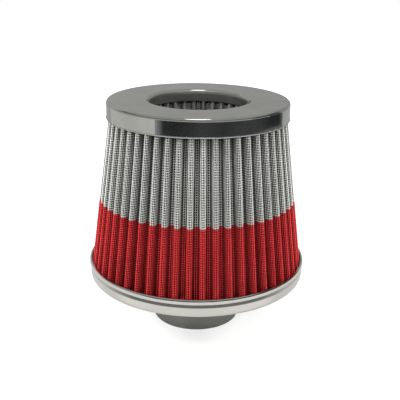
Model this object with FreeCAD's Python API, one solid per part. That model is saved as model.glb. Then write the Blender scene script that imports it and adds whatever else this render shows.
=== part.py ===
import FreeCAD, Part

import math
import os

# Twin-cone air filter. Lengths in millimetres, +Z up, Z = 0 at the open end of the neck.

# Neck: the tube that carries the hose. Its spigot goes through the dish, held by a shoulder and a flange.
NECK_RADIUS = 30.0
NECK_WALL = 1.2
NECK_LENGTH = 33.0
NECK_END_BEVEL = 0.3
NECK_SHOULDER = 0.5
NECK_FLANGE_WIDTH = 5.0
NECK_FLANGE_THICKNESS = 1.2

# Base dish: floor, upright rim and the bead along the rim's top edge.
RIM_RADIUS = 75.0
RIM_HEIGHT = 12.6
DISH_SHEET = 0.9
DISH_CORNER_ROUND = 3.0
BEAD_HEIGHT = 3.6
BEAD_STEP = 0.7

# Top cap: channel ring with a rolled lip round its opening.
BODY_HEIGHT = 122.5
CAP_RADIUS = 60.6
CAP_WALL_HEIGHT = 11.8
CAP_SHEET = 0.8
CAP_EDGE_ROUND = 2.0
CAP_WALL_BEVEL = 0.35
OPENING_RADIUS = 32.5
LIP_ROUND = 2.8
LIP_DEPTH = 8.0

# Layers of both pleated walls, from the dirty side inward.
SCREEN_THICKNESS = 0.4
MEDIA_THICKNESS = 0.6
BACKING_THICKNESS = 0.3
FOLD_BEVEL = 0.5
PACK_CLEARANCE = 0.2

# Pleats of the outer cone. The fold keeps its section from end to end, so only the valley floor widens.
OUTER_PLEAT_COUNT = 52
OUTER_FOLD_WIDTH = 3.4
OUTER_FOLD_DEPTH = 5.2
OUTER_FLANK_RUN = 0.4
COLOUR_LINE_HEIGHT = 55.7

# Pleats of the well, the inverted cone that hangs under the opening.
WELL_PLEAT_COUNT = 32
WELL_FOLD_WIDTH = 2.8
WELL_FOLD_DEPTH = 5.0
WELL_FLANK_RUN = 0.3
WELL_FOOT_RADIUS = 22.0
WELL_DEPTH = 82.0

# Cup that closes the foot of the well.
CUP_SHEET = 0.8
CUP_WALL_HEIGHT = 9.0
CUP_CORNER_BEVEL = 1.2
CUP_CLEARANCE = 0.3

# Sealant beds that the ends of the pleated walls stand on.
TOP_SEALANT_DEPTH = 5.0
BASE_SEALANT_DEPTH = 7.0
BASE_SEALANT_MARGIN = 3.0
CUP_SEALANT_DEPTH = 3.5

# Heights that follow from the sizes above.
DISH_FLOOR = NECK_LENGTH + DISH_SHEET
RIM_TOP = NECK_LENGTH + RIM_HEIGHT
TOP_HEIGHT = NECK_LENGTH + BODY_HEIGHT
CAP_WALL_FOOT = TOP_HEIGHT - CAP_WALL_HEIGHT
CAP_UNDERSIDE = TOP_HEIGHT - CAP_SHEET
SKIRT_FOOT = TOP_HEIGHT - LIP_DEPTH
PACK_TOP = CAP_UNDERSIDE - TOP_SEALANT_DEPTH
PACK_FOOT = DISH_FLOOR + BASE_SEALANT_DEPTH
COLOUR_LINE = NECK_LENGTH + COLOUR_LINE_HEIGHT
WELL_FOOT = TOP_HEIGHT - WELL_DEPTH
CUP_FLOOR = WELL_FOOT - CUP_SEALANT_DEPTH
CUP_UNDERSIDE = CUP_FLOOR - CUP_SHEET
CUP_TOP = CUP_UNDERSIDE + CUP_WALL_HEIGHT

# Radii that follow from the sizes above.
NECK_SPIGOT_RADIUS = NECK_RADIUS - NECK_SHOULDER
PACK_THICKNESS = SCREEN_THICKNESS + MEDIA_THICKNESS + BACKING_THICKNESS
RIM_WALL_RADIUS = RIM_RADIUS - BEAD_STEP
RIM_INNER_RADIUS = RIM_WALL_RADIUS - DISH_SHEET
CAP_INNER_RADIUS = CAP_RADIUS - CAP_SHEET
SKIRT_OUTER_RADIUS = OPENING_RADIUS + CAP_SHEET
OUTER_FOOT_RADIUS = RIM_INNER_RADIUS - PACK_CLEARANCE
OUTER_CAP_RADIUS = CAP_INNER_RADIUS - PACK_CLEARANCE
OUTER_LEAN = (OUTER_FOOT_RADIUS - OUTER_CAP_RADIUS) / (CAP_WALL_FOOT - PACK_FOOT)
WELL_SKIRT_RADIUS = SKIRT_OUTER_RADIUS + PACK_CLEARANCE
BASE_SEALANT_RADIUS = OUTER_FOOT_RADIUS - OUTER_FOLD_DEPTH - PACK_THICKNESS - BASE_SEALANT_MARGIN
WELL_LEAN = (WELL_SKIRT_RADIUS - WELL_FOOT_RADIUS) / (SKIRT_FOOT - WELL_FOOT)
WELL_CUP_RADIUS = WELL_FOOT_RADIUS + WELL_LEAN * (CUP_TOP - WELL_FOOT)
CUP_INNER_RADIUS = WELL_CUP_RADIUS + WELL_FOLD_DEPTH + PACK_THICKNESS + CUP_CLEARANCE


def inside_bevel(corner_round, sheet):
    """Leg of the flat that follows a rounded corner on the inside of the sheet."""
    return (corner_round - sheet) * (2.0 - math.sqrt(2.0))


def profile_point(radius, height):
    return FreeCAD.Vector(radius, 0.0, height)


def line(start, end):
    return Part.LineSegment(profile_point(*start), profile_point(*end)).toShape()


def arc(start, middle, end):
    return Part.Arc(profile_point(*start), profile_point(*middle), profile_point(*end)).toShape()


def corner_arc(centre, radius, start_angle, end_angle):
    """Arc of a rounded corner, angles in degrees from the outward direction."""
    points = []
    for angle in (start_angle, 0.5 * (start_angle + end_angle), end_angle):
        turn = math.radians(angle)
        points.append((centre[0] + radius * math.cos(turn), centre[1] + radius * math.sin(turn)))
    return arc(*points)


def chain(points):
    """Straight edges through the points in order."""
    return [line(start, end) for start, end in zip(points, points[1:])]


def turned(edges):
    """Solid of revolution about the filter's axis."""
    face = Part.Face(Part.Wire(edges))
    return face.revolve(FreeCAD.Vector(0, 0, 0), FreeCAD.Vector(0, 0, 1), 360)


def turned_outline(points):
    return turned(chain(points + [points[0]]))


def make_top_cap():
    edge_centre = (CAP_RADIUS - CAP_EDGE_ROUND, TOP_HEIGHT - CAP_EDGE_ROUND)
    lip_centre = (OPENING_RADIUS + LIP_ROUND, TOP_HEIGHT - LIP_ROUND)
    edge_bevel = inside_bevel(CAP_EDGE_ROUND, CAP_SHEET)
    lip_bevel = inside_bevel(LIP_ROUND, CAP_SHEET)
    wall = chain([
        (CAP_INNER_RADIUS, CAP_WALL_FOOT),
        (CAP_RADIUS - CAP_WALL_BEVEL, CAP_WALL_FOOT),
        (CAP_RADIUS, CAP_WALL_FOOT + CAP_WALL_BEVEL),
        (CAP_RADIUS, edge_centre[1]),
    ])
    edge = [corner_arc(edge_centre, CAP_EDGE_ROUND, 0, 90)]
    top = [line((edge_centre[0], TOP_HEIGHT), (lip_centre[0], TOP_HEIGHT))]
    lip = [corner_arc(lip_centre, LIP_ROUND, 90, 180)]
    inside = chain([
        (OPENING_RADIUS, lip_centre[1]),
        (OPENING_RADIUS, SKIRT_FOOT),
        (SKIRT_OUTER_RADIUS, SKIRT_FOOT),
        (SKIRT_OUTER_RADIUS, CAP_UNDERSIDE - lip_bevel),
        (SKIRT_OUTER_RADIUS + lip_bevel, CAP_UNDERSIDE),
        (CAP_INNER_RADIUS - edge_bevel, CAP_UNDERSIDE),
        (CAP_INNER_RADIUS, CAP_UNDERSIDE - edge_bevel),
        (CAP_INNER_RADIUS, CAP_WALL_FOOT),
    ])
    return turned(wall + edge + top + lip + inside)


def make_top_sealant():
    edge_bevel = inside_bevel(CAP_EDGE_ROUND, CAP_SHEET)
    lip_bevel = inside_bevel(LIP_ROUND, CAP_SHEET)
    return turned_outline([
        (SKIRT_OUTER_RADIUS, PACK_TOP),
        (CAP_INNER_RADIUS, PACK_TOP),
        (CAP_INNER_RADIUS, CAP_UNDERSIDE - edge_bevel),
        (CAP_INNER_RADIUS - edge_bevel, CAP_UNDERSIDE),
        (SKIRT_OUTER_RADIUS + lip_bevel, CAP_UNDERSIDE),
        (SKIRT_OUTER_RADIUS, CAP_UNDERSIDE - lip_bevel),
    ])


def make_base_dish():
    corner_centre = (RIM_WALL_RADIUS - DISH_CORNER_ROUND, NECK_LENGTH + DISH_CORNER_ROUND)
    floor_bevel = inside_bevel(DISH_CORNER_ROUND, DISH_SHEET)
    bead_foot = RIM_TOP - BEAD_HEIGHT
    underside = [line((NECK_SPIGOT_RADIUS, NECK_LENGTH), (corner_centre[0], NECK_LENGTH))]
    corner = [corner_arc(corner_centre, DISH_CORNER_ROUND, -90, 0)]
    wall = [line((RIM_WALL_RADIUS, corner_centre[1]), (RIM_WALL_RADIUS, bead_foot))]
    bead = [arc(
        (RIM_WALL_RADIUS, bead_foot),
        (RIM_RADIUS, RIM_TOP - 0.5 * BEAD_HEIGHT),
        (RIM_WALL_RADIUS, RIM_TOP),
    )]
    inside = chain([
        (RIM_WALL_RADIUS, RIM_TOP),
        (RIM_INNER_RADIUS, RIM_TOP),
        (RIM_INNER_RADIUS, DISH_FLOOR + floor_bevel),
        (RIM_INNER_RADIUS - floor_bevel, DISH_FLOOR),
        (NECK_SPIGOT_RADIUS, DISH_FLOOR),
        (NECK_SPIGOT_RADIUS, NECK_LENGTH),
    ])
    return turned(underside + corner + wall + bead + inside)


def make_base_sealant():
    floor_bevel = inside_bevel(DISH_CORNER_ROUND, DISH_SHEET)
    return turned_outline([
        (BASE_SEALANT_RADIUS, DISH_FLOOR),
        (RIM_INNER_RADIUS - floor_bevel, DISH_FLOOR),
        (RIM_INNER_RADIUS, DISH_FLOOR + floor_bevel),
        (RIM_INNER_RADIUS, PACK_FOOT),
        (BASE_SEALANT_RADIUS, PACK_FOOT),
    ])


def make_inlet_neck():
    bore = NECK_RADIUS - NECK_WALL
    flange_top = DISH_FLOOR + NECK_FLANGE_THICKNESS
    return turned_outline([
        (bore, 0.0),
        (NECK_RADIUS - NECK_END_BEVEL, 0.0),
        (NECK_RADIUS, NECK_END_BEVEL),
        (NECK_RADIUS, NECK_LENGTH),
        (NECK_SPIGOT_RADIUS, NECK_LENGTH),
        (NECK_SPIGOT_RADIUS, DISH_FLOOR),
        (NECK_RADIUS + NECK_FLANGE_WIDTH, DISH_FLOOR),
        (NECK_RADIUS + NECK_FLANGE_WIDTH, flange_top),
        (bore, flange_top),
    ])


def make_well_cup():
    outer = CUP_INNER_RADIUS + CUP_SHEET
    return turned_outline([
        (0.0, CUP_UNDERSIDE),
        (outer - CUP_CORNER_BEVEL, CUP_UNDERSIDE),
        (outer, CUP_UNDERSIDE + CUP_CORNER_BEVEL),
        (outer, CUP_TOP),
        (CUP_INNER_RADIUS, CUP_TOP),
        (CUP_INNER_RADIUS, CUP_FLOOR + CUP_CORNER_BEVEL),
        (CUP_INNER_RADIUS - CUP_CORNER_BEVEL, CUP_FLOOR),
        (0.0, CUP_FLOOR),
    ])


def make_cup_sealant():
    return turned_outline([
        (0.0, CUP_FLOOR),
        (CUP_INNER_RADIUS - CUP_CORNER_BEVEL, CUP_FLOOR),
        (CUP_INNER_RADIUS, CUP_FLOOR + CUP_CORNER_BEVEL),
        (CUP_INNER_RADIUS, WELL_FOOT),
        (0.0, WELL_FOOT),
    ])


def outer_crest(height):
    return OUTER_FOOT_RADIUS - OUTER_LEAN * (height - PACK_FOOT)


def well_crest(height):
    return WELL_FOOT_RADIUS + WELL_LEAN * (height - WELL_FOOT)


def fold_outline(width, depth, run, offset, bevel):
    """Half of one fold as (sideways, back from the crest) points, moved into the wall by offset."""
    slope = math.atan2(run, depth)
    draw_in = offset * (1.0 - math.sin(slope)) / math.cos(slope)
    half = 0.5 * width - draw_in
    foot = (half + run, offset + depth)
    if bevel == 0.0:
        return [(half, offset), foot]
    bevelled = (half + bevel * math.sin(slope), offset + bevel * math.cos(slope))
    return [(half - bevel, offset), bevelled, foot]


def pleat_ring(count, half_fold, crest_radius, back_sign, height):
    """Points of one pleated skin at a height. back_sign is -1 where the folds face outward, +1 inward."""
    whole_fold = [(-side, back) for side, back in reversed(half_fold)] + half_fold
    points = []
    for fold in range(count):
        turn = 2.0 * math.pi * (fold + 0.5) / count
        for side, back in whole_fold:
            radius = crest_radius + back_sign * back
            x = radius * math.sin(turn) + side * math.cos(turn)
            y = side * math.sin(turn) - radius * math.cos(turn)
            points.append(FreeCAD.Vector(x, y, height))
    return points


def closed_wire(points):
    return Part.makePolygon(points + [points[0]])


def skin_faces(lower, upper):
    """Flat four-sided faces between the rings at the two ends of a skin."""
    faces = []
    for index in range(len(lower)):
        after = (index + 1) % len(lower)
        corners = [lower[index], lower[after], upper[after], upper[index]]
        faces.append(Part.Face(closed_wire(corners)))
    return faces


def make_pleated_layer(count, folds, crest, back_sign, foot, top):
    """One folded sheet between two skins, its ends cut level at foot and top."""
    rings = []
    for half_fold in folds:
        lower = pleat_ring(count, half_fold, crest(foot), back_sign, foot)
        upper = pleat_ring(count, half_fold, crest(top), back_sign, top)
        rings.append((lower, upper))
    faces = []
    for lower, upper in rings:
        faces.extend(skin_faces(lower, upper))
    for end in (0, 1):
        wires = [closed_wire(ring[end]) for ring in rings]
        faces.append(Part.makeFace(wires, "Part::FaceMakerBullseye"))
    shell = Part.Shell(faces)
    shell.sewShape()
    return Part.Solid(shell)


def outer_fold(offset, bevel=0.0):
    return fold_outline(OUTER_FOLD_WIDTH, OUTER_FOLD_DEPTH, OUTER_FLANK_RUN, offset, bevel)


def well_fold(offset, bevel=0.0):
    return fold_outline(WELL_FOLD_WIDTH, WELL_FOLD_DEPTH, WELL_FLANK_RUN, offset, bevel)


def make_outer_layer(folds, foot, top):
    return make_pleated_layer(OUTER_PLEAT_COUNT, folds, outer_crest, -1, foot, top)


def make_well_layer(folds):
    return make_pleated_layer(WELL_PLEAT_COUNT, folds, well_crest, 1, WELL_FOOT, PACK_TOP)


def make_outer_cone():
    media_back = SCREEN_THICKNESS + MEDIA_THICKNESS
    screen = [outer_fold(0.0, FOLD_BEVEL), outer_fold(SCREEN_THICKNESS)]
    media = [outer_fold(SCREEN_THICKNESS), outer_fold(media_back)]
    backing = [outer_fold(media_back), outer_fold(PACK_THICKNESS)]
    return {
        "upper_screen": make_outer_layer(screen, COLOUR_LINE, PACK_TOP),
        "lower_screen": make_outer_layer(screen, PACK_FOOT, COLOUR_LINE),
        "outer_media": make_outer_layer(media, PACK_FOOT, PACK_TOP),
        "outer_backing": make_outer_layer(backing, PACK_FOOT, PACK_TOP),
    }


def make_well_cone():
    media_back = SCREEN_THICKNESS + MEDIA_THICKNESS
    screen = [well_fold(0.0, FOLD_BEVEL), well_fold(SCREEN_THICKNESS)]
    media = [well_fold(SCREEN_THICKNESS), well_fold(media_back)]
    backing = [well_fold(media_back), well_fold(PACK_THICKNESS)]
    return {
        "well_screen": make_well_layer(screen),
        "well_media": make_well_layer(media),
        "well_backing": make_well_layer(backing),
    }


def make_parts():
    parts = {
        "top_cap": make_top_cap(),
        "base_dish": make_base_dish(),
        "inlet_neck": make_inlet_neck(),
        "well_cup": make_well_cup(),
        "top_sealant": make_top_sealant(),
        "base_sealant": make_base_sealant(),
        "cup_sealant": make_cup_sealant(),
    }
    parts.update(make_outer_cone())
    parts.update(make_well_cone())
    return parts


def main():
    os.makedirs("parts", exist_ok=True)
    for name, shape in make_parts().items():
        if shape.Volume < 0:
            shape.reverse()
        shape.exportStep("parts/" + name + ".step")
        print(name, shape.ShapeType, "valid" if shape.isValid() else "not valid", round(shape.Volume, 1))


main()
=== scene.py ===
"""Dressed model of a twin-cone air filter: polished caps, woven wire over pleated cloth, plain neck."""

import logging
import math
from dataclasses import dataclass, field
from enum import Enum
from typing import Dict, Optional, Sequence, Tuple, Union

import bpy
import numpy as np
from mathutils import Euler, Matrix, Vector


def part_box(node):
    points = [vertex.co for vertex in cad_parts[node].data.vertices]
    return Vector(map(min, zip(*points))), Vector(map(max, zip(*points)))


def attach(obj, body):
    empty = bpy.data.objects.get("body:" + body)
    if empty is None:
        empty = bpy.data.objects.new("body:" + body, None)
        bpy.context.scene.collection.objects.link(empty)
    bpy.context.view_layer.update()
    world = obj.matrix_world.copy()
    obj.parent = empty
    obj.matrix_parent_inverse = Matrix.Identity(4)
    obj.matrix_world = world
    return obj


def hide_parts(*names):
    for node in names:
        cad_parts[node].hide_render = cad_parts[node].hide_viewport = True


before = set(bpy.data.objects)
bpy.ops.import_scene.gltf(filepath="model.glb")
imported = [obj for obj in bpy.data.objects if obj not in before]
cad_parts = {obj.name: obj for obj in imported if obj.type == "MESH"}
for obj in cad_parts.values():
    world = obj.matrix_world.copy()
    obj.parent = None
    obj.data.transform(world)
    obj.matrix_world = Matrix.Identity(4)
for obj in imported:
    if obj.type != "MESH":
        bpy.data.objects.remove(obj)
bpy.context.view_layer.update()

LOG = logging.getLogger("air_filter")
BODY = "root"
MM = 0.001
FULL_TURN = 2.0 * math.pi

Colour = Tuple[float, float, float]
Point = Tuple[float, float, float]
Span = Tuple[float, float]
Material = bpy.types.Material
Socket = bpy.types.NodeSocket
Paint = Union[Socket, Colour]

WHITE: Colour = (1.0, 1.0, 1.0)
COOL_GREY: Colour = (1.0, 1.06, 1.16)
NONE_TO_ALL: Span = (0.0, 1.0)


class Facing(Enum):
    """Side that the folds of a pleated wall point to."""

    OUTWARD = -1
    INWARD = 1


class WireRun(Enum):
    """Direction of a set of wires in a woven screen."""

    WARP = "warp"
    WEFT = "weft"


# Node helpers


class NodeTree:
    """Small helper that adds and links the nodes of one material or world."""

    def __init__(self, tree: bpy.types.NodeTree) -> None:
        """Keeps the tree and clears it.

        Args:
            tree: The node tree of a material or of the world.
        """
        self.tree = tree
        self.tree.nodes.clear()

    def feed(self, value: Union[Socket, float, Tuple[float, ...]], target: Socket) -> None:
        """Links a socket to a target, or sets the target to a fixed value.

        Args:
            value: A socket, a number or the numbers of a colour.
            target: The socket that gets it.
        """
        if isinstance(value, Socket):
            self.tree.links.new(value, target)
        else:
            target.default_value = value

    def assign(self, node: bpy.types.Node, **values: object) -> None:
        """Sets a node's properties and inputs.

        Args:
            node: The node.
            **values: Properties, or inputs by name with spaces as underscores, as sockets or fixed values.
        """
        for name, value in values.items():
            if hasattr(node, name):
                setattr(node, name, value)
            else:
                self.feed(value, node.inputs[name.replace("_", " ")])

    def add(self, kind: str, **values: object) -> bpy.types.Node:
        """Adds a node.

        Args:
            kind: Blender's name of the node type.
            **values: Properties and inputs to set.

        Returns:
            The new node.
        """
        node = self.tree.nodes.new(kind)
        self.assign(node, **values)
        return node

    def place(self) -> Socket:
        """Coordinates in the frame that all the pieces share."""
        return self.add("ShaderNodeTexCoord").outputs["Object"]

    def apart(self, vector: Socket) -> Tuple[Socket, Socket, Socket]:
        """Splits a vector into x, y and z."""
        parts = self.add("ShaderNodeSeparateXYZ", Vector=vector).outputs
        return parts["X"], parts["Y"], parts["Z"]

    def length(self, vector: Socket) -> Socket:
        """Length of a vector."""
        return self.add("ShaderNodeVectorMath", operation="LENGTH", Vector=vector).outputs["Value"]

    def from_axis(self, x: Socket, y: Socket) -> Socket:
        """Distance of a place from the filter's upright axis."""
        return self.length(self.add("ShaderNodeCombineXYZ", X=x, Y=y).outputs["Vector"])

    def math(self, operation: str, *values: Union[Socket, float]) -> Socket:
        """Adds a math node.

        Args:
            operation: Blender's name of the operation.
            *values: Its inputs in order, as sockets or numbers.

        Returns:
            The result.
        """
        node = self.add("ShaderNodeMath", operation=operation)
        for target, value in zip(node.inputs, values):
            self.feed(value, target)
        return node.outputs[0]

    def noise(self, vector: Socket, scale: float, detail: float = 2.0) -> Socket:
        """Noise at a place, with its scale per metre and its octaves."""
        return self.add("ShaderNodeTexNoise", Vector=vector, Scale=scale, Detail=detail).outputs["Fac"]

    def remap(self, value: Socket, source: Span, target: Span) -> Socket:
        """Maps one range of values to another, clamped.

        Args:
            value: The value to map.
            source: Lowest and highest value read.
            target: The values that these become.

        Returns:
            The mapped value.
        """
        node = self.add("ShaderNodeMapRange", Value=value)
        for name, number in zip(("From Min", "From Max", "To Min", "To Max"), source + target):
            node.inputs[name].default_value = number
        return node.outputs["Result"]

    def mix_colours(self, share: Socket, first: Paint, second: Paint) -> Socket:
        """Mixes two colours.

        Args:
            share: Share of the second colour.
            first: Colour at share 0.
            second: Colour at share 1.

        Returns:
            The mixed colour.
        """
        node = self.add("ShaderNodeMix", data_type="RGBA", Factor=share)
        for name, colour in (("A", first), ("B", second)):
            value = colour if isinstance(colour, Socket) else (*colour, 1.0)
            self.feed(value, node.inputs[name])
        return node.outputs["Result"]

    def scale_colour(self, colour: Socket, factor: Socket) -> Socket:
        """Multiplies a colour by a number."""
        node = self.add("ShaderNodeVectorMath", operation="SCALE", Vector=colour, Scale=factor)
        return node.outputs["Vector"]

    def bump(self, height: Socket, strength: float, distance: float) -> Socket:
        """Turns a height into a bumped normal, the distance being the bump's depth in metres."""
        node = self.add("ShaderNodeBump", Height=height, Strength=strength, Distance=distance)
        return node.outputs["Normal"]


def new_material(name: str) -> Tuple[Material, NodeTree, bpy.types.Node]:
    """Makes a material with a shader and an output.

    Args:
        name: Name of the finish.

    Returns:
        The material, its node helper and its shader node.
    """
    material = bpy.data.materials.new(name)
    material.use_nodes = True
    nodes = NodeTree(material.node_tree)
    shader = nodes.add("ShaderNodeBsdfPrincipled")
    nodes.add("ShaderNodeOutputMaterial", Surface=shader.outputs["BSDF"])
    return material, nodes, shader


# Pleated outlines

# A rounded corner takes up at most this share of the edge beside it.
ROUND_LIMIT = 0.98
# The direction of a pleat is measured over this share of its outline to each side.
DIRECTION_REACH = 0.02


@dataclass(frozen=True)
class PleatSection:
    """Rounded section of the folds, the same from end to end of a wall."""

    count: int
    fold_width: float
    fold_depth: float
    flank_run: float
    facing: Facing
    fold_round: float
    valley_round: float
    curve_steps: int = 6

    def half_fold(self, crest: float) -> np.ndarray:
        """Half of one fold, from the middle of its crest to the middle of the valley.

        Args:
            crest: Distance of the crest from the axis, in metres.

        Returns:
            Rows of (sideways, from the axis).
        """
        half_turn = math.pi / self.count
        back = crest + self.facing.value * self.fold_depth
        side = 0.5 * self.fold_width
        foot = side + self.flank_run
        valley = foot * math.sin(half_turn) + back * math.cos(half_turn)
        corners = [
            np.array([0.0, crest]),
            np.array([side, crest]),
            np.array([foot, back]),
            np.array([valley * math.sin(half_turn), valley * math.cos(half_turn)]),
        ]
        points = [corners[0]]
        for index, reach in ((1, self.fold_round), (2, self.valley_round)):
            corner = corners[index]
            before = corners[index - 1] - corner
            after = corners[index + 1] - corner
            start = corner + before * min(ROUND_LIMIT, reach / np.linalg.norm(before))
            end = corner + after * min(ROUND_LIMIT, reach / np.linalg.norm(after))
            for step in np.linspace(0.0, 1.0, self.curve_steps):
                points.append((1 - step) ** 2 * start + 2 * step * (1 - step) * corner + step**2 * end)
        points.append(corners[3])
        return np.array(points)

    def outline_length(self, crest: float) -> float:
        """Length of the whole folded outline at one height.

        Args:
            crest: Distance of the crests from the axis there, in metres.

        Returns:
            The length, in metres.
        """
        steps = np.diff(self.half_fold(crest), axis=0)
        return float(2 * self.count * np.linalg.norm(steps, axis=1).sum())

    def ring(self, crest: float, per_pleat: int, offset: float) -> Tuple[np.ndarray, np.ndarray]:
        """Evenly spaced points of the whole pleated outline at one height.

        Args:
            crest: Distance of the crests from the axis there, in metres.
            per_pleat: Points on each pleat, an even number.
            offset: Distance into the wall from its dirty side.

        Returns:
            The points and the directions out of the wall's dirty side, as rows of x and y.
        """
        half = self.half_fold(crest)
        whole = np.vstack([half[::-1] * (-1.0, 1.0), half[1:]])
        lengths = np.concatenate([[0.0], np.cumsum(np.linalg.norm(np.diff(whole, axis=0), axis=1))])
        wanted = (np.arange(per_pleat) + 0.5) / per_pleat * lengths[-1]
        reach = DIRECTION_REACH * lengths[-1]
        spot = self._at(whole, lengths, wanted)
        along = self._at(whole, lengths, wanted + reach) - self._at(whole, lengths, wanted - reach)
        along /= np.linalg.norm(along, axis=1, keepdims=True)
        outward = -self.facing.value * np.stack([-along[:, 1], along[:, 0]], axis=1)
        turns = FULL_TURN * (np.arange(self.count) + 0.5) / self.count
        return self._around(spot - offset * outward, turns), self._around(outward, turns)

    @staticmethod
    def _at(outline: np.ndarray, lengths: np.ndarray, wanted: np.ndarray) -> np.ndarray:
        """Points of an outline at given distances along it.

        Args:
            outline: Rows of (sideways, from the axis).
            lengths: Distance of each row from the outline's start.
            wanted: Distances of the points wanted.

        Returns:
            Rows of (sideways, from the axis).
        """
        return np.stack([np.interp(wanted, lengths, outline[:, axis]) for axis in (0, 1)], axis=1)

    @staticmethod
    def _around(local: np.ndarray, turns: np.ndarray) -> np.ndarray:
        """Repeats points or directions at each pleat.

        Args:
            local: Rows of (sideways, from the axis).
            turns: Angle of each pleat's middle.

        Returns:
            Rows of x and y, pleat by pleat.
        """
        sine = np.sin(turns)[:, None]
        cosine = np.cos(turns)[:, None]
        x = local[None, :, 1] * sine + local[None, :, 0] * cosine
        y = local[None, :, 0] * sine - local[None, :, 1] * cosine
        return np.stack([x, y], axis=-1).reshape(-1, 2)


@dataclass(frozen=True)
class PleatedCone:
    """A pleated wall whose crests run straight, its ends given as (height, distance from the axis)."""

    section: PleatSection
    low: Span
    high: Span

    def crest(self, height: float) -> float:
        """Distance of the crests from the axis.

        Args:
            height: Height at which it is wanted.

        Returns:
            The distance, in metres.
        """
        share = (height - self.low[0]) / (self.high[0] - self.low[0])
        return self.low[1] + share * (self.high[1] - self.low[1])

    def slant(self) -> float:
        """Length of a crest from end to end."""
        return math.hypot(self.high[0] - self.low[0], self.high[1] - self.low[1])


# Finishes


@dataclass(frozen=True)
class PolishedMetal:
    """Plated or satin sheet metal with fine turning marks around the axis.

    A seam is a band of heights darkened with painted shade, most at the front, which stands in for a dark
    reflection in the step under the bead. Within the dull radius, down in the opening, the metal is less
    polished.
    """

    name: str
    colour: Colour
    worn_colour: Colour
    roughness: Span
    seam: Optional[Span] = None
    seam_shade: float = 0.22
    seam_fade: Span = (0.5 * MM, 0.15 * MM)
    faint_seam: float = 0.75
    front_reach: float = 75.0 * MM
    front_span: Span = (0.62, 0.92)
    dull_radius: Optional[float] = None
    dull_roughness: float = 0.4
    smudge_scale: float = 38.0
    smudge_span: Span = (0.35, 0.7)
    haze_scale: float = 210.0
    haze_share: float = 0.5
    polish_span: Span = (0.5, 1.0)
    mark_pitch: float = 0.35 * MM
    mark_strength: float = 0.01
    mark_depth: float = 0.05 * MM

    def painted_seam_shade(self, nodes: NodeTree, seam: Span, y: Socket, z: Socket) -> Socket:
        """Share of the metal's colour that the painted shade in the seam leaves.

        Args:
            nodes: Tree to add to.
            seam: Lower and upper edge of the seam.
            y: Depth of the place, negative in front.
            z: Height of the place.

        Returns:
            The share, 1 away from the seam.
        """
        low, high = seam
        under = nodes.remap(z, (low - self.seam_fade[0], low), (1.0, self.seam_shade))
        over = nodes.remap(z, (high, high + self.seam_fade[1]), (self.seam_shade, 1.0))
        frontness = nodes.math("DIVIDE", y, -self.front_reach)
        faint = nodes.remap(frontness, self.front_span, (self.faint_seam, 0.0))
        return nodes.math("MAXIMUM", nodes.math("MAXIMUM", under, over), faint)

    def material(self) -> Material:
        """Builds the finish.

        Returns:
            The material.
        """
        material, nodes, shader = new_material(self.name)
        place = nodes.place()
        x, y, z = nodes.apart(place)
        radius = nodes.from_axis(x, y)
        smudge = nodes.noise(place, self.smudge_scale, detail=4.0)
        haze = nodes.noise(place, self.haze_scale, detail=3.0)
        worn = nodes.remap(smudge, self.smudge_span, NONE_TO_ALL)
        sheet = nodes.mix_colours(worn, self.colour, self.worn_colour)
        # Painted shade: a dark line along the seam, strongest at the front, for a dark reflection in the
        # step.
        if self.seam is not None:
            sheet = nodes.scale_colour(sheet, self.painted_seam_shade(nodes, self.seam, y, z))
        mixed = nodes.math("MULTIPLY_ADD", haze, self.haze_share, smudge)
        polish = nodes.remap(mixed, self.polish_span, self.roughness)
        if self.dull_radius is not None:
            inside = nodes.math("LESS_THAN", radius, self.dull_radius)
            polish = nodes.math("MAXIMUM", polish, nodes.math("MULTIPLY", inside, self.dull_roughness))
        run = nodes.math("ADD", radius, z)
        marks = nodes.add(
            "ShaderNodeTexNoise", noise_dimensions="1D", W=run, Scale=1.0 / self.mark_pitch, Detail=2.0
        )
        normal = nodes.bump(marks.outputs["Fac"], self.mark_strength, self.mark_depth)
        nodes.assign(shader, Base_Color=sheet, Roughness=polish, Metallic=1.0, Normal=normal)
        return material


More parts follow.
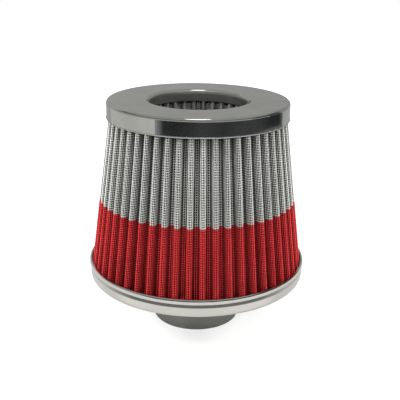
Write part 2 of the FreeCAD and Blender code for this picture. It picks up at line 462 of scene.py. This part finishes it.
@dataclass(frozen=True)
class WireFinish:
    """Drawn wire, bare or coated: clean on the crests of the folds, dusty on flanks and in valley corners.

    The wire's colour is multiplied by these painted shade values on flank, valley, corner and under the
    cap; a value above 1 paints light.
    """

    name: str
    colour: Colour
    dull_colour: Colour
    metallic: float
    roughness: Span
    cone: PleatedCone
    flank_shade: float
    valley: float
    corner: float
    cap: float = 1.0
    coat: float = 0.0
    coat_roughness: float = 0.25
    crest_span: Span = (0.06, 0.28)
    valley_span: Span = (0.55, 0.85)
    corner_span: Span = (0.32, 0.40)
    cap_span: Span = (127.0 * MM, 143.0 * MM)
    patch_scale: float = 90.0
    patch_span: Span = (0.35, 0.65)
    grain_scale: float = 1600.0
    grain_span: Span = (0.3, 0.7)

    def painted_fold_shade(self, nodes: NodeTree, place: Socket) -> Socket:
        """Works out the painted shade by which the wire's colour is multiplied at a place.

        Args:
            nodes: Tree to add to.
            place: Coordinates of the place.

        Returns:
            The factor, 1 on the crests.
        """
        low, high, section = self.cone.low, self.cone.high, self.cone.section
        x, y, z = nodes.apart(place)
        crest = nodes.remap(z, (low[0], high[0]), (low[1], high[1]))
        drop = nodes.math("ABSOLUTE", nodes.math("SUBTRACT", crest, nodes.from_axis(x, y)))
        depth = nodes.math("DIVIDE", drop, section.fold_depth)
        turn = nodes.math("ARCTAN2", x, nodes.math("MULTIPLY", y, -1.0))
        pleat = nodes.math("FRACT", nodes.math("MULTIPLY", turn, section.count / FULL_TURN))
        sideways = nodes.math("ABSOLUTE", nodes.math("SUBTRACT", pleat, 0.5))
        # Painted shade in the folds: darker on the flanks and in the valley corners, for the shade between
        # the pleats.
        floor = nodes.remap(sideways, self.corner_span, (self.corner, self.valley))
        deep = nodes.remap(depth, self.valley_span, NONE_TO_ALL)
        change = nodes.math("MULTIPLY", deep, nodes.math("SUBTRACT", floor, self.flank_shade))
        fold = nodes.math("ADD", change, self.flank_shade)
        # Painted shadow of the cap on the wires just below it.
        painted_cap_shadow = nodes.remap(z, self.cap_span, (1.0, self.cap))
        off_crest = nodes.remap(depth, self.crest_span, NONE_TO_ALL)
        shaded_fold = nodes.math("MULTIPLY", fold, painted_cap_shadow)
        return nodes.math("MULTIPLY_ADD", off_crest, shaded_fold, nodes.math("SUBTRACT", 1.0, off_crest))

    def material(self) -> Material:
        """Builds the finish.

        Returns:
            The material.
        """
        material, nodes, shader = new_material(self.name)
        place = nodes.place()
        patch = nodes.remap(nodes.noise(place, self.patch_scale, detail=3.0), self.patch_span, NONE_TO_ALL)
        wire = nodes.mix_colours(patch, self.colour, self.dull_colour)
        grain = nodes.noise(place, self.grain_scale)
        nodes.assign(
            shader,
            Base_Color=nodes.scale_colour(wire, self.painted_fold_shade(nodes, place)),
            Roughness=nodes.remap(grain, self.grain_span, self.roughness),
            Metallic=self.metallic,
            Coat_Weight=self.coat,
            Coat_Roughness=self.coat_roughness,
        )
        return material


@dataclass(frozen=True)
class FilterCloth:
    """Matt fibre cloth, dyed below the colour line where it has dye."""

    name: str
    colour: Colour
    fibre_colour: Colour
    dye: Optional[Tuple[Colour, Colour]] = None
    colour_line: float = 0.0
    line_waver: float = 0.5 * MM
    waver_scale: float = 700.0
    fibre_scale: float = 2200.0
    fibre_span: Span = (0.35, 0.65)
    roughness: float = 0.92
    specular: float = 0.2
    nap_scale: float = 2600.0
    nap_strength: float = 0.5
    nap_depth: float = 0.15 * MM

    def above_line(self, nodes: NodeTree, place: Socket) -> Socket:
        """Tells the undyed part of the cloth, whose edge wavers a little.

        Args:
            nodes: Tree to add to.
            place: Coordinates of the place.

        Returns:
            1 above the colour line, 0 below it.
        """
        height = nodes.apart(place)[2]
        unevenness = nodes.math("SUBTRACT", nodes.noise(place, self.waver_scale), 0.5)
        level = nodes.math("MULTIPLY_ADD", unevenness, self.line_waver, height)
        return nodes.math("GREATER_THAN", level, self.colour_line)

    def material(self) -> Material:
        """Builds the finish.

        Returns:
            The material.
        """
        material, nodes, shader = new_material(self.name)
        place = nodes.place()
        fibre = nodes.remap(nodes.noise(place, self.fibre_scale, detail=4.0), self.fibre_span, NONE_TO_ALL)
        cloth = nodes.mix_colours(fibre, self.colour, self.fibre_colour)
        if self.dye is not None:
            dyed = nodes.mix_colours(fibre, *self.dye)
            cloth = nodes.mix_colours(self.above_line(nodes, place), dyed, cloth)
        nap = nodes.noise(place, self.nap_scale, detail=5.0)
        nodes.assign(
            shader,
            Base_Color=cloth,
            Roughness=self.roughness,
            Specular_IOR_Level=self.specular,
            Normal=nodes.bump(nap, self.nap_strength, self.nap_depth),
        )
        return material


@dataclass(frozen=True)
class CastSealant:
    """Cast elastomer with a soft skin."""

    name: str
    colour: Colour
    bloom_colour: Colour
    roughness: Span = (0.42, 0.6)
    bloom_scale: float = 60.0
    bloom_span: Span = (0.4, 0.7)
    skin_scale: float = 240.0
    skin_strength: float = 0.25
    skin_depth: float = 0.3 * MM

    def material(self) -> Material:
        """Builds the finish.

        Returns:
            The material.
        """
        material, nodes, shader = new_material(self.name)
        place = nodes.place()
        bloom = nodes.remap(nodes.noise(place, self.bloom_scale, detail=4.0), self.bloom_span, NONE_TO_ALL)
        skin = nodes.noise(place, self.skin_scale, detail=3.0)
        nodes.assign(
            shader,
            Base_Color=nodes.mix_colours(bloom, self.colour, self.bloom_colour),
            Roughness=nodes.remap(bloom, NONE_TO_ALL, self.roughness),
            Normal=nodes.bump(skin, self.skin_strength, self.skin_depth),
        )
        return material


@dataclass(frozen=True)
class BackingScreen:
    """Clean-side screen, its weave drawn as crossed ridges. Roughness goes from the gaps to the ridges."""

    name: str
    colour: Colour
    gap_colour: Colour
    pitch: float = 1.5 * MM
    ridge_span: Span = (0.2, 0.9)
    ridge_strength: float = 0.8
    ridge_height: float = 0.2 * MM
    metallic: float = 0.9
    roughness: Span = (0.9, 0.4)

    def material(self) -> Material:
        """Builds the finish.

        Returns:
            The material.
        """
        material, nodes, shader = new_material(self.name)
        ridges = []
        for axis in nodes.apart(nodes.place()):
            wave = nodes.math("SINE", nodes.math("MULTIPLY", axis, FULL_TURN / self.pitch))
            ridges.append(nodes.remap(wave, self.ridge_span, NONE_TO_ALL))
        weave = nodes.math("MAXIMUM", nodes.math("MAXIMUM", ridges[0], ridges[1]), ridges[2])
        nodes.assign(
            shader,
            Base_Color=nodes.mix_colours(weave, self.gap_colour, self.colour),
            Metallic=nodes.math("MULTIPLY", weave, self.metallic),
            Roughness=nodes.remap(weave, NONE_TO_ALL, self.roughness),
            Normal=nodes.bump(weave, self.ridge_strength, self.ridge_height),
        )
        return material


# Mesh helpers


def mesh_object(name: str, points: np.ndarray, faces: np.ndarray) -> bpy.types.Object:
    """Makes a smooth-shaded mesh object from arrays.

    Args:
        name: Name of the piece.
        points: Points as rows of x, y, z in metres.
        faces: Corner indices, one row per face, three or four to a row.

    Returns:
        The object, linked to the scene.
    """
    mesh = bpy.data.meshes.new(name)
    count, corners = faces.shape
    mesh.vertices.add(len(points))
    mesh.vertices.foreach_set("co", points.astype(np.float32).ravel())
    mesh.loops.add(count * corners)
    mesh.loops.foreach_set("vertex_index", faces.astype(np.int32).ravel())
    mesh.polygons.add(count)
    mesh.polygons.foreach_set("loop_start", np.arange(0, count * corners, corners, dtype=np.int32))
    mesh.polygons.foreach_set("use_smooth", np.full(count, True))
    mesh.update(calc_edges=True)
    mesh.validate()
    piece = bpy.data.objects.new(name, mesh)
    bpy.context.scene.collection.objects.link(piece)
    return piece


def dress(piece: bpy.types.Object, material: Material) -> None:
    """Gives the piece one material in place of those it has."""
    piece.data.materials.clear()
    piece.data.materials.append(material)


def join_model(piece: bpy.types.Object, node: Optional[str] = None) -> None:
    """Makes a new piece part of the model and reports it.

    Args:
        piece: The piece.
        node: Solid whose place it takes, if any.
    """
    if node is not None:
        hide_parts(node)
    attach(piece, BODY)
    LOG.info("%s: %d faces", piece.name, len(piece.data.polygons))


def tube_faces(wires: int, steps: int, sides: int, closed: bool) -> np.ndarray:
    """Faces of a set of alike tubes whose points are stored wire by wire, step by step, side by side.

    Args:
        wires: Number of tubes.
        steps: Rings of points along each tube.
        sides: Points round each ring, three where the tubes are open.
        closed: Whether each tube joins up with its own start.

    Returns:
        Three corner indices a row. An open tube gets one face over each end.
    """
    spans = steps if closed else steps - 1
    wire, span, side = np.meshgrid(np.arange(wires), np.arange(spans), np.arange(sides), indexing="ij")
    base = wire * steps * sides
    near = base + span * sides
    far = base + ((span + 1) % steps) * sides
    after = (side + 1) % sides
    first = np.stack([near + side, near + after, far + after], axis=-1).reshape(-1, 3)
    second = np.stack([near + side, far + after, far + side], axis=-1).reshape(-1, 3)
    faces = [first, second]
    if not closed:
        starts = np.arange(wires)[:, None] * steps * sides
        ends = starts + (steps - 1) * sides
        faces.append(starts + np.arange(sides)[::-1])
        faces.append(ends + np.arange(sides))
    return np.concatenate(faces)


def level_ring(spots: np.ndarray, height: float) -> np.ndarray:
    """Lifts rows of x and y to a height, as rows of x, y and z."""
    return np.column_stack([spots, np.full(len(spots), height)])


# Layers of a pleated wall


@dataclass(frozen=True)
class WovenScreen:
    """Plain-weave wire screen that follows a pleated cone between two heights."""

    node: str
    slot: str
    cone: PleatedCone
    start: float
    end: float
    first_row: int
    warp_per_pleat: int
    weft_pitch: float
    wire_radius: float
    wave: float
    sides: int = 3

    def rows(self) -> np.ndarray:
        """Heights of the weft wires, half a pitch from the start and then whole pitches apart.

        Returns:
            The heights, from the start to the end.
        """
        direction = math.copysign(1.0, self.end - self.start)
        count = int(abs(self.end - self.start) / self.weft_pitch)
        return self.start + direction * self.weft_pitch * (np.arange(count) + 0.5)

    def crossings(self, heights: np.ndarray) -> Tuple[np.ndarray, np.ndarray]:
        """Middle of the weave at each warp wire and height.

        Args:
            heights: Heights of the crossings.

        Returns:
            Points and outward directions, indexed by height, warp wire and axis.
        """
        sink = self.wire_radius + self.wave
        points, normals = [], []
        for height in heights:
            spots, outward = self.cone.section.ring(self.cone.crest(height), self.warp_per_pleat, sink)
            points.append(level_ring(spots, height))
            normals.append(level_ring(outward, 0.0))
        return np.array(points), np.array(normals)

    def over_under(self, rows: int, wires: int) -> np.ndarray:
        """Side on which the warp passes each weft wire: +1 in front, -1 behind.

        Args:
            rows: Number of weft wires.
            wires: Number of warp wires.

        Returns:
            Signs indexed by weft wire, warp wire and a last axis of one.
        """
        row, wire = np.meshgrid(np.arange(rows) + self.first_row, np.arange(wires), indexing="ij")
        return np.where((row + wire) % 2 == 0, 1.0, -1.0)[..., None]

    def tubes(
        self, paths: np.ndarray, first: np.ndarray, second: np.ndarray, closed: bool
    ) -> Tuple[np.ndarray, np.ndarray]:
        """Sweeps a wire along each path.

        Args:
            paths: Points indexed by wire, step and axis.
            first: Direction of the section's first axis at each point.
            second: Direction of the section's second axis at each point.
            closed: Whether each wire is a ring.

        Returns:
            Points and three-cornered faces.
        """
        rings = []
        for side in range(self.sides):
            turn = FULL_TURN * side / self.sides
            rings.append(paths + self.wire_radius * (math.cos(turn) * first + math.sin(turn) * second))
        points = np.stack(rings, axis=2)
        wires, steps = paths.shape[:2]
        return points.reshape(-1, 3), tube_faces(wires, steps, self.sides, closed)

    def build(self, run: WireRun, material: Material) -> None:
        """Builds one set of wires and puts it in the place of the plain sheet.

        Args:
            run: Which set of wires.
            material: Finish of the wires.
        """
        points, normals = self.crossings(self.rows())
        signs = self.over_under(points.shape[0], points.shape[1])
        upright = np.zeros_like(points)
        upright[..., 2] = 1.0
        if run is WireRun.WEFT:
            paths = points - signs * self.wave * normals
            shape = self.tubes(paths, normals, upright, closed=True)
        else:
            paths = points + signs * self.wave * normals
            along = np.cross(upright, normals)
            ends, end_normals = self.crossings(np.array([self.start, self.end]))
            paths = np.concatenate([ends[:1], paths, ends[1:]])
            normals = np.concatenate([end_normals[:1], normals, end_normals[1:]])
            along = np.concatenate([along[:1], along, along[-1:]])
            by_wire = [part.transpose(1, 0, 2) for part in (paths, normals, along)]
            shape = self.tubes(*by_wire, closed=False)
        piece = mesh_object(f"{self.node}_{run.value}", *shape)
        dress(piece, material)
        join_model(piece, self.node)


@dataclass(frozen=True)
class ClothLayer:
    """Folded filter cloth behind a screen, as a closed sheet with rounded folds."""

    name: str
    node: str
    slot: str
    backing: str
    cone: PleatedCone
    front: float
    back: float
    points_per_pleat: int = 20
    rows: int = 5

    def shape(self) -> Tuple[np.ndarray, np.ndarray]:
        """Rings of points up the front of the cloth and down its back, and the faces between them.

        Returns:
            Points and four-cornered faces.
        """
        heights = np.linspace(self.cone.low[0], self.cone.high[0], self.rows)
        rings = []
        for offset in (self.front, self.back):
            for height in heights:
                spots, _ = self.cone.section.ring(self.cone.crest(height), self.points_per_pleat, offset)
                rings.append(level_ring(spots, height))
        loop = list(range(self.rows)) + list(range(self.rows, 2 * self.rows))[::-1]
        around = len(rings[0])
        index = np.arange(around)
        after = (index + 1) % around
        faces = []
        for ring, following in zip(loop, loop[1:] + loop[:1]):
            low = ring * around
            high = following * around
            faces.append(np.stack([low + index, low + after, high + after, high + index], axis=1))
        return np.vstack(rings), np.vstack(faces)

    def build(self, material: Material) -> None:
        """Builds the sheet and puts it in the place of the plain one.

        Args:
            material: Finish of the cloth.
        """
        piece = mesh_object(self.name, *self.shape())
        dress(piece, material)
        foot = self.cone.section.outline_length(self.cone.low[1])
        top = self.cone.section.outline_length(self.cone.high[1])
        slant = self.cone.slant()
        join_model(piece, self.node)


# Sub-assemblies


@dataclass
class PleatedWall:
    """What both pleated walls share: a weave, a cloth, and crests that run straight up into the cap."""

    media: str
    backing: str
    foot_radius: float
    cap_radius: float
    cap_height: float
    section: PleatSection
    wire_radius: float = 0.135 * MM
    wire_wave: float = 0.10 * MM
    weft_pitch: float = 1.5 * MM
    warp_per_pleat: int = 12
    cloth_front: float = 0.50 * MM
    cloth_back: float = 0.98 * MM

    def cone(self) -> PleatedCone:
        """The wall's crests, from the sealant at its foot to the sealant in the cap.

        Returns:
            The cone that they lie on.
        """
        low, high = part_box(self.media)
        lean = (self.cap_radius - self.foot_radius) / (self.cap_height - low.z)
        top_radius = self.foot_radius + lean * (high.z - low.z)
        return PleatedCone(self.section, (low.z, self.foot_radius), (high.z, top_radius))

    def screen(
        self, node: str, slot: str, cone: PleatedCone, start: float, end: float, first_row: int = 0
    ) -> WovenScreen:
        """One woven screen of the wall.

        Args:
            node: Solid whose place it takes.
            slot: Material slot that it belongs to.
            cone: The wall's crests.
            start: Height from which the weft wires are counted.
            end: Height of the other edge.
            first_row: 0 or 1, which of the warp wires pass in front of the first weft wire.

        Returns:
            The screen, not yet built.
        """
        weave = (self.warp_per_pleat, self.weft_pitch, self.wire_radius, self.wire_wave)
        return WovenScreen(node, slot, cone, start, end, first_row, *weave)

    def cloth(self, name: str, cone: PleatedCone) -> ClothLayer:
        """The cloth of the wall.

        Args:
            name: Name of the piece.
            cone: The wall's crests.

        Returns:
            The cloth, not yet built.
        """
        faces = (self.cloth_front, self.cloth_back)
        return ClothLayer(name, self.media, "media_cloth", self.backing, cone, *faces)


@dataclass
class OuterCone(PleatedWall):
    """Outer pleated wall: bare screen above the colour line, red screen below, cloth behind both."""

    media: str = "outer_media"
    backing: str = "outer_backing"
    foot_radius: float = 73.2 * MM
    cap_radius: float = 59.6 * MM
    cap_height: float = 143.7 * MM
    section: PleatSection = PleatSection(
        count=52,
        fold_width=3.4 * MM,
        fold_depth=5.2 * MM,
        flank_run=0.4 * MM,
        facing=Facing.OUTWARD,
        fold_round=1.6 * MM,
        valley_round=0.8 * MM,
    )

    def build(self, bare: Material, red: Material, cloth: Material) -> None:
        """Builds the screens and the cloth.

        Args:
            bare: Finish of the upper wires.
            red: Finish of the lower wires.
            cloth: Finish of the cloth.
        """
        cone = self.cone()
        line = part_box("upper_screen")[0].z
        upper = self.screen("upper_screen", "bare_wire", cone, line, cone.high[0])
        lower = self.screen("lower_screen", "red_wire", cone, line, cone.low[0], first_row=1)
        for run in WireRun:
            upper.build(run, bare)
            lower.build(run, red)
        self.cloth("outer_cloth", cone).build(cloth)


@dataclass
class Well(PleatedWall):
    """Inverted pleated cone that hangs under the opening."""

    media: str = "well_media"
    backing: str = "well_backing"
    foot_radius: float = 22.0 * MM
    cap_radius: float = 33.5 * MM
    cap_height: float = 147.5 * MM
    section: PleatSection = PleatSection(
        count=32,
        fold_width=2.8 * MM,
        fold_depth=5.0 * MM,
        flank_run=0.3 * MM,
        facing=Facing.INWARD,
        fold_round=1.3 * MM,
        valley_round=0.7 * MM,
    )

    def build(self, bare: Material, cloth: Material) -> None:
        """Builds the screen and the cloth.

        Args:
            bare: Finish of the wires.
            cloth: Finish of the cloth.
        """
        cone = self.cone()
        screen = self.screen("well_screen", "bare_wire", cone, cone.low[0], cone.high[0])
        for run in WireRun:
            screen.build(run, bare)
        self.cloth("well_cloth", cone).build(cloth)


@dataclass
class CapHem:
    """Rolled lower edge of the cap's wall, a thin bead all round."""

    bead_radius: float = 0.45 * MM
    stand_out: float = 0.30 * MM
    lift: float = 0.40 * MM
    steps: int = 192
    sides: int = 10

    def build(self, metal: Material) -> None:
        """Builds the bead.

        Args:
            metal: Finish of the bead.
        """
        low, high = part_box("top_cap")
        middle = high.x + self.stand_out - self.bead_radius
        turns = FULL_TURN * np.arange(self.steps) / self.steps
        directions = np.stack([np.cos(turns), np.sin(turns)], axis=1)
        bead_turns = FULL_TURN * np.arange(self.sides) / self.sides
        reach = middle + self.bead_radius * np.cos(bead_turns)
        height = low.z + self.lift + self.bead_radius * np.sin(bead_turns)
        flat = directions[:, None, :] * reach[None, :, None]
        upright = np.broadcast_to(height[None, :, None], (self.steps, self.sides, 1))
        points = np.concatenate([flat, upright], axis=2).reshape(-1, 3)
        piece = mesh_object("cap_hem", points, tube_faces(1, self.steps, self.sides, closed=True))
        dress(piece, metal)
        join_model(piece)


@dataclass
class SheetMetal:
    """Caps, neck, cup, backing screens and sealant, which keep their solids and get their finishes."""

    finishes: Dict[str, str] = field(
        default_factory=lambda: {
            "top_cap": "cap",
            "base_dish": "dish",
            "inlet_neck": "neck",
            "well_cup": "neck",
            "outer_backing": "backing",
            "well_backing": "backing",
            "top_sealant": "sealant",
            "base_sealant": "sealant",
            "cup_sealant": "sealant",
        }
    )

    def build(self, materials: Dict[str, Material]) -> None:
        """Dresses the solids.

        Args:
            materials: The finishes by name.
        """
        for name, finish in self.finishes.items():
            dress(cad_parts[name], materials[finish])
            LOG.info("%s: %s finish", name, finish)


# Studio

# Brightness of the three uneven cards, in even steps from the start of each to its end.
FRONT_LEVELS = (0.30, 0.028, 0.025, 0.026, 0.034, 0.046, 0.048, 0.040, 0.036, 0.048, 0.054, 0.052)
FAR_LEVELS = (0.35, 0.35, 0.35, 0.35, 0.28, 0.04, 0.04, 0.04, 0.28, 0.35, 0.35, 0.35, 0.35)
RIGHT_LEVELS = (0.052, 0.052, 0.044, 0.030, 0.026, 0.026, 0.028, 0.16)


@dataclass(frozen=True)
class ReflectionCard:
    """Curved card round the set that only reflections show.

    Its start and end are angles in degrees, counted from straight ahead of the filter's front to its right.
    """

    name: str
    start: float
    end: float
    low: float
    high: float
    radius: float
    levels: Tuple[float, ...]
    high_radius: Optional[float] = None
    tint: Colour = WHITE
    steps: int = 48

    def build(self) -> None:
        angles = np.linspace(self.start, self.end, self.steps)
        turns = np.radians(angles)
        ring = np.stack([np.sin(turns), -np.cos(turns)], axis=1)
        high_radius = self.radius if self.high_radius is None else self.high_radius
        low_edge = level_ring(self.radius * ring, self.low)
        high_edge = level_ring(high_radius * ring, self.high)
        index = np.arange(self.steps - 1)
        faces = np.stack([index, index + 1, index + 1 + self.steps, index + self.steps], axis=1)
        card = mesh_object(self.name, np.vstack([low_edge, high_edge]), faces)
        level_angles = np.linspace(self.start, self.end, len(self.levels))
        brightness = np.interp(angles, level_angles, self.levels)
        stored = card.data.attributes.new("brightness", "FLOAT", "POINT")
        stored.data.foreach_set("value", np.concatenate([brightness, brightness]).astype(np.float32))
        dress(card, self.material(stored.name))
        card.visible_camera = False
        card.visible_diffuse = False
        card.visible_shadow = False
        card.visible_transmission = False

    def material(self, attribute: str) -> Material:
        """Makes the card's glow.

        Args:
            attribute: Name of the stored brightness.

        Returns:
            The material.
        """
        material = bpy.data.materials.new(self.name)
        material.use_nodes = True
        nodes = NodeTree(material.node_tree)
        level = nodes.add("ShaderNodeAttribute", attribute_name=attribute).outputs["Fac"]
        glow = nodes.add("ShaderNodeEmission", Color=(*self.tint, 1.0), Strength=level)
        nodes.add("ShaderNodeOutputMaterial", Surface=glow.outputs["Emission"])
        return material


@dataclass(frozen=True)
class SoftLamp:
    """Soft square lamp that points at the filter and that reflections don't show."""

    name: str
    place: Point
    size: float
    watts: float
    aim: Point = (0.0, 0.0, 0.09)

    def build(self) -> None:
        """Adds the lamp to the scene."""
        lamp = bpy.data.lights.new(self.name, "AREA")
        lamp.shape = "SQUARE"
        lamp.size = self.size
        lamp.energy = self.watts
        holder = bpy.data.objects.new(self.name, lamp)
        holder.location = self.place
        holder.rotation_euler = (Vector(self.aim) - Vector(self.place)).to_track_quat("-Z", "Y").to_euler()
        holder.visible_glossy = False
        bpy.context.scene.collection.objects.link(holder)


@dataclass
class Studio:
    """Pale floor, soft lamps, white surroundings and reflection cards."""

    floor_size: float = 3.0
    floor_colour: Colour = (0.23, 0.23, 0.225)
    floor_roughness: float = 0.9
    near_lift: float = 0.66
    lift_span: Span = (0.12, 0.45)
    metal_lift: float = 0.27
    ambient: float = 0.30
    cards: Sequence[ReflectionCard] = (
        ReflectionCard("front_card", -49.0, 62.0, 0.047, 0.13, 0.40, FRONT_LEVELS, tint=COOL_GREY),
        ReflectionCard("right_card", 62.0, 119.0, 0.060, 0.13, 0.40, RIGHT_LEVELS, tint=COOL_GREY),
        ReflectionCard("right_low_card", 62.0, 119.0, 0.040, 0.060, 0.40, (0.05, 0.16, 0.14)),
        ReflectionCard("bead_card", -115.0, 60.0, 0.127, 0.24, 0.25, (0.36,)),
        ReflectionCard("low_back_card", 119.0, 232.0, 0.002, 0.10, 0.40, (0.42,)),
        ReflectionCard("far_back_card", 120.0, 240.0, 0.002, 0.24, 0.90, FAR_LEVELS),
        ReflectionCard("back_card", 120.0, 240.0, 0.24, 0.80, 0.90, (0.263, 0.355, 0.447)),
        ReflectionCard("right_high_card", 60.0, 120.0, 0.13, 0.80, 0.90, (0.08,)),
        ReflectionCard("left_high_card", 240.0, 300.0, 0.13, 0.80, 0.90, (0.08,)),
        ReflectionCard("front_high_card", -60.0, 60.0, 0.13, 0.80, 0.90, (0.05,)),
        ReflectionCard("ceiling_card", 0.0, 360.0, 1.1, 1.25, 1.3, (0.34,), high_radius=0.16),
        ReflectionCard("ceiling_window", 0.0, 360.0, 1.25, 1.26, 0.16, (4.0,), high_radius=0.01),
        ReflectionCard("left_card", 232.0, 311.0, 0.002, 0.13, 0.40, (0.56,)),
    )
    lamps: Sequence[SoftLamp] = (
        SoftLamp("overhead_lamp", (-0.10, -0.30, 0.95), 0.30, 4.0),
        SoftLamp("front_lamp", (0.02, -1.00, 0.62), 0.20, 9.0),
        SoftLamp("left_lamp", (-1.02, -0.16, 0.72), 0.25, 28.0),
        SoftLamp("back_lamp", (0.15, 0.95, 0.75), 0.25, 10.0),
        SoftLamp("right_lamp", (1.02, -0.16, 0.72), 0.25, 22.5),
    )

    def build_world(self) -> None:
        """Makes surroundings that are white to the camera and in reflections, and soft light otherwise."""
        world = bpy.data.worlds.new("studio_surroundings")
        bpy.context.scene.world = world
        world.use_nodes = True
        nodes = NodeTree(world.node_tree)
        rays = nodes.add("ShaderNodeLightPath").outputs
        seen = nodes.math("MAXIMUM", rays["Is Camera Ray"], rays["Is Glossy Ray"])
        seen = nodes.math("MAXIMUM", seen, rays["Is Transmission Ray"])
        level = nodes.remap(seen, NONE_TO_ALL, (self.ambient, 1.0))
        background = nodes.add("ShaderNodeBackground", Color=(*WHITE, 1.0), Strength=level)
        nodes.add("ShaderNodeOutputWorld", Surface=background.outputs["Background"])

    def build_floor(self) -> None:
        """Makes the floor, lifted to white where no shadow falls on it."""
        half = 0.5 * self.floor_size
        corners = np.array([[-half, -half, 0.0], [half, -half, 0.0], [half, half, 0.0], [-half, half, 0.0]])
        floor = mesh_object("floor", corners, np.array([[0, 1, 2, 3]]))
        material, nodes, shader = new_material("floor_paper")
        rays = nodes.add("ShaderNodeLightPath").outputs
        lift = nodes.remap(nodes.length(nodes.place()), self.lift_span, (self.near_lift, 1.0))
        seen = nodes.math("MAXIMUM", rays["Is Camera Ray"], rays["Is Transmission Ray"])
        mirrored = nodes.math("MULTIPLY", rays["Is Glossy Ray"], self.metal_lift)
        nodes.assign(
            shader,
            Base_Color=(*self.floor_colour, 1.0),
            Roughness=self.floor_roughness,
            Specular_IOR_Level=0.0,
            Emission_Color=(*WHITE, 1.0),
            Emission_Strength=nodes.math("MULTIPLY", lift, nodes.math("MAXIMUM", seen, mirrored)),
        )
        dress(floor, material)

    def build(self) -> None:
        """Builds the whole set."""
        self.build_world()
        self.build_floor()
        for card in self.cards:
            card.build()
        for lamp in self.lamps:
            lamp.build()


@dataclass
class PhotoCamera:
    """Camera fitted to the photograph."""

    place: Point = (0.0020, -0.4614, 0.2468)
    pitch: float = 0.338
    roll: float = 0.014
    focal_pixels: float = 706.04
    image_pixels: float = 400.0
    sensor: float = 36.0
    near_limit: float = 0.01

    def build(self) -> None:
        """Adds the camera to the scene."""
        data = bpy.data.cameras.new("photo_camera")
        data.sensor_width = self.sensor
        data.lens = self.focal_pixels / self.image_pixels * self.sensor
        data.clip_start = self.near_limit
        camera = bpy.data.objects.new("photo_camera", data)
        camera.location = self.place
        upright = Euler((math.pi / 2.0 - self.pitch, 0.0, 0.0)).to_matrix()
        lean = Euler((0.0, 0.0, self.roll)).to_matrix()
        camera.rotation_euler = (upright @ lean).to_euler()
        bpy.context.scene.collection.objects.link(camera)
        bpy.context.scene.camera = camera


def make_finishes() -> Dict[str, Material]:
    """Builds every finish of the filter.

    Returns:
        The materials by name.
    """
    outer = OuterCone().cone()
    well = Well().cone()
    finishes = {
        "cap": PolishedMetal(
            name="polished_cap",
            colour=(0.71, 0.715, 0.66),
            worn_colour=(0.61, 0.615, 0.56),
            roughness=(0.03, 0.08),
            dull_radius=33.4 * MM,
        ),
        "dish": PolishedMetal(
            name="polished_dish",
            colour=(0.70, 0.69, 0.65),
            worn_colour=(0.66, 0.65, 0.61),
            roughness=(0.08, 0.18),
            # Painted shade along the step under the bead, strongest at the front.
            seam=(40.2 * MM, 42.0 * MM),
        ),
        "hem": PolishedMetal(
            name="polished_hem",
            colour=(0.69, 0.695, 0.64),
            worn_colour=(0.65, 0.655, 0.60),
            roughness=(0.2, 0.3),
        ),
        # Satin metal whose dark colour is painted shade, for the shadow under the dish and down the well.
        "neck": PolishedMetal(
            name="satin_neck_painted_shade",
            colour=(0.30, 0.30, 0.283),
            worn_colour=(0.26, 0.26, 0.245),
            roughness=(0.25, 0.38),
        ),
        "bare_wire": WireFinish(
            name="bare_wire",
            colour=(0.92, 0.93, 0.88),
            dull_colour=(0.82, 0.83, 0.78),
            metallic=0.4,
            roughness=(0.25, 0.4),
            cone=outer,
            # Painted shade in the folds and painted shadow under the cap.
            flank_shade=0.72,
            valley=1.0,
            corner=0.10,
            cap=0.3,
        ),
        # Same silver wire, its dark colour painted shade down in the opening; the valley value above 1
        # paints light into its valleys.
        "shaded_well_wire": WireFinish(
            name="shaded_well_wire",
            colour=(0.25, 0.25, 0.238),
            dull_colour=(0.22, 0.22, 0.21),
            metallic=0.5,
            roughness=(0.25, 0.4),
            cone=well,
            flank_shade=0.5,
            valley=1.6,
            corner=0.3,
        ),
        "red_wire": WireFinish(
            name="red_wire",
            colour=(0.80, 0.050, 0.053),
            dull_colour=(0.68, 0.036, 0.038),
            metallic=0.3,
            roughness=(0.3, 0.45),
            cone=outer,
            # Painted shade in the folds.
            flank_shade=0.76,
            valley=1.0,
            corner=0.18,
            coat=0.3,
        ),
        "cloth": FilterCloth(
            name="filter_cloth",
            colour=(0.02, 0.02, 0.019),
            fibre_colour=(0.045, 0.045, 0.043),
            dye=((0.06, 0.003, 0.004), (0.12, 0.008, 0.009)),
            colour_line=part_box("upper_screen")[0].z,
        ),
        # Same cloth as outside, made lighter: painted light on the cloth down in the opening.
        "well_cloth": FilterCloth("well_cloth", (0.05, 0.05, 0.047), (0.10, 0.10, 0.095)),
        "backing": BackingScreen("backing_screen", (0.6, 0.6, 0.58), (0.08, 0.08, 0.075)),
        "sealant": CastSealant("cast_sealant", (0.018, 0.018, 0.018), (0.035, 0.035, 0.034)),
    }
    return {name: finish.material() for name, finish in finishes.items()}


def main() -> None:
    """Builds the filter and its set."""
    logging.basicConfig(level=logging.INFO, format="%(name)s %(message)s")
    bpy.context.scene.view_settings.view_transform = "Standard"
    materials = make_finishes()
    SheetMetal().build(materials)
    CapHem().build(materials["hem"])
    OuterCone().build(materials["bare_wire"], materials["red_wire"], materials["cloth"])
    Well().build(materials["shaded_well_wire"], materials["well_cloth"])
    Studio().build()
    PhotoCamera().build()


if __name__ == "__main__":
    main()
